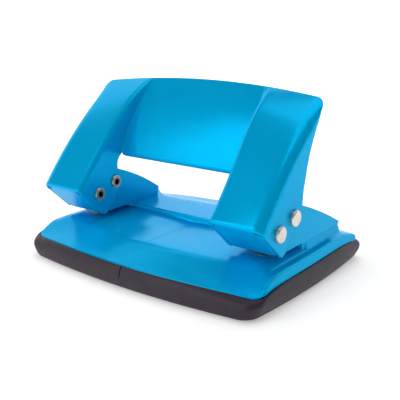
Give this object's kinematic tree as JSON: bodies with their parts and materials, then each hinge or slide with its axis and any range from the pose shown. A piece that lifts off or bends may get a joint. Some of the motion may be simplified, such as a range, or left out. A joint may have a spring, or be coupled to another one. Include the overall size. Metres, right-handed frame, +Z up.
{
  "type": "two hole punch",
  "caption": "Desk punch with a bridge-shaped steel lever on two riveted arms, a pressed steel base plate with a paper stop, and a plastic chip tray that comes off.",
  "frame": {"origin": "centre of the footprint, on the surface it stands on", "axes": "+X to the user's right along the row of holes, +Y away from the user, +Z up"},
  "size_m": [0.108, 0.086, 0.0679],
  "materials": {
    "enamel": "gloss",
    "plastic": "satin",
    "plated_steel": "polished",
    "tool_steel": "ground",
    "rubber": "matte"
  },
  "bodies": {
    "tray": {"chip_tray": "plastic", "non_slip_pads": "rubber"},
    "frame": {"base_plate": "enamel", "die_bush_left": "tool_steel", "die_bush_right": "tool_steel", "bracket_left": "enamel", "bracket_right": "enamel", "bracket_rivets_left": "plated_steel", "bracket_rivets_right": "plated_steel", "pivot_spacer_left": "plated_steel", "pivot_spacer_right": "plated_steel", "spring_left": "tool_steel", "spring_right": "tool_steel"},
    "lever": {"lever": "enamel", "pivot_pin_left": "plated_steel", "pivot_pin_right": "plated_steel", "drive_pin_left": "plated_steel", "drive_pin_right": "plated_steel"},
    "punch_left": {"punch_left": "tool_steel"},
    "punch_right": {"punch_right": "tool_steel"}
  },
  "joints": [
    {"name": "frame_lift", "type": "slide", "parent": "tray", "child": "frame", "axis": [0, 0, 1], "range_m": [0, 0.03]},
    {"name": "lever_hinge", "type": "hinge", "parent": "frame", "child": "lever", "pos_m": [0, -0.0219, 0.0248], "axis": [-1, 0, 0], "range_deg": [0, 30], "stiffness_Nm_per_rad": 0.25, "springref_deg": -22.92},
    {"name": "punch_left_slide", "type": "slide", "parent": "frame", "child": "punch_left", "axis": [0, 0, -1], "range_m": [0, 0.00495], "deforming": ["spring_left"]},
    {"name": "punch_right_slide", "type": "slide", "parent": "frame", "child": "punch_right", "axis": [0, 0, -1], "range_m": [0, 0.00495], "deforming": ["spring_right"]}
  ],
  "couplings": [
    {"joint": "punch_left_slide", "follows": "lever_hinge", "m_per_rad": 0.00941},
    {"joint": "punch_right_slide", "follows": "lever_hinge", "m_per_rad": 0.00941}
  ]
}
